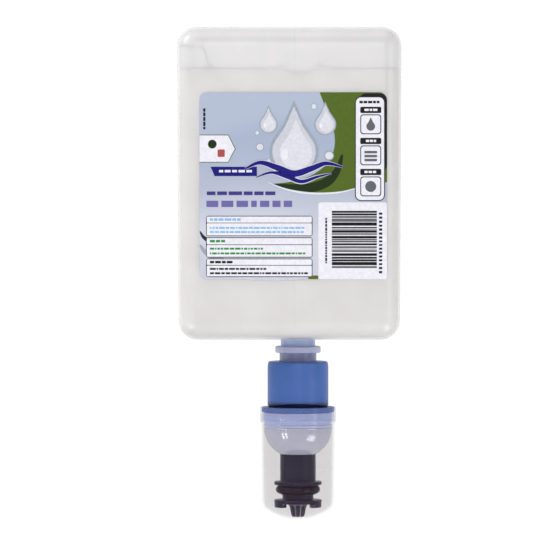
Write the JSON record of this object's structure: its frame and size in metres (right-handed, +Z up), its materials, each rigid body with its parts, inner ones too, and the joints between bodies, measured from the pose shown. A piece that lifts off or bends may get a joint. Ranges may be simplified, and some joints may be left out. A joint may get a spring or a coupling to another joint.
{
  "type": "hand soap refill pack",
  "caption": "Translucent one-litre bottle of hand soap that hangs neck-down in a wall dispenser, with a dosing pump, a spring-back stem and a clear overcap.",
  "frame": {"origin": "on the pump's axis, in the plane of the bottle's underside, where the dispenser's bracket takes the bottle", "axes": "+Z up along the pump's axis towards the bottle's base, the label faces -Y, +X to the right seen from the label side"},
  "size_m": [0.1192, 0.0646, 0.263],
  "materials": {
    "bottle_plastic": "milky translucent blow-moulded polyethylene, satin",
    "soap": "warm off-white liquid soap, stands in as a solid",
    "label_film": "printed film label, semi-gloss",
    "blue_plastic": "mid-blue moulded polypropylene, satin",
    "dark_rubber": "near-black rubber ring",
    "seal_rubber": "grey sealing rubber",
    "natural_plastic": "uncoloured polyethylene",
    "spring_steel": "bright stainless steel",
    "frosted_plastic": "translucent lavender-grey polypropylene",
    "charcoal_plastic": "anthracite moulded plastic, satin",
    "gloss_rubber": "black glossy elastomer",
    "clear_plastic": "clear thin moulded polypropylene with a slight haze"
  },
  "bodies": {
    "bottle": {"soap_bottle": "bottle_plastic", "soap_fill": "soap", "front_label": "label_film", "pump_collar": "blue_plastic", "foot_seal": "dark_rubber", "pump_base": "blue_plastic", "neck_gasket": "seal_rubber", "dose_cylinder": "blue_plastic", "inlet_ball_cage": "natural_plastic", "bell_housing": "frosted_plastic", "return_spring": "spring_steel"},
    "stem": {"piston_rod": "natural_plastic", "piston_seal": "seal_rubber", "actuator_stem": "charcoal_plastic", "grip_ring": "gloss_rubber", "outlet_nozzle": "charcoal_plastic", "outlet_spring": "spring_steel"},
    "inlet_valve": {"inlet_ball": "spring_steel"},
    "outlet_valve": {"outlet_ball": "spring_steel"},
    "cap": {"overcap": "clear_plastic"}
  },
  "joints": [
    {"name": "stem_stroke", "type": "slide", "parent": "bottle", "child": "stem", "axis": [0, 0, 1], "range_m": [0, 0.008], "stiffness_N_per_m": 600, "springref_m": -0.012, "deforming": ["return_spring"]},
    {"name": "inlet_valve_lift", "type": "slide", "parent": "bottle", "child": "inlet_valve", "axis": [0, 0, 1], "range_m": [0, 0.0011]},
    {"name": "outlet_valve_open", "type": "slide", "parent": "stem", "child": "outlet_valve", "axis": [0, 0, -1], "range_m": [0, 0.0012], "stiffness_N_per_m": 60, "springref_m": -0.002, "deforming": ["outlet_spring"]},
    {"name": "overcap_pull", "type": "slide", "parent": "bottle", "child": "cap", "axis": [0, 0, -1], "range_m": [0, 0.065]}
  ]
}
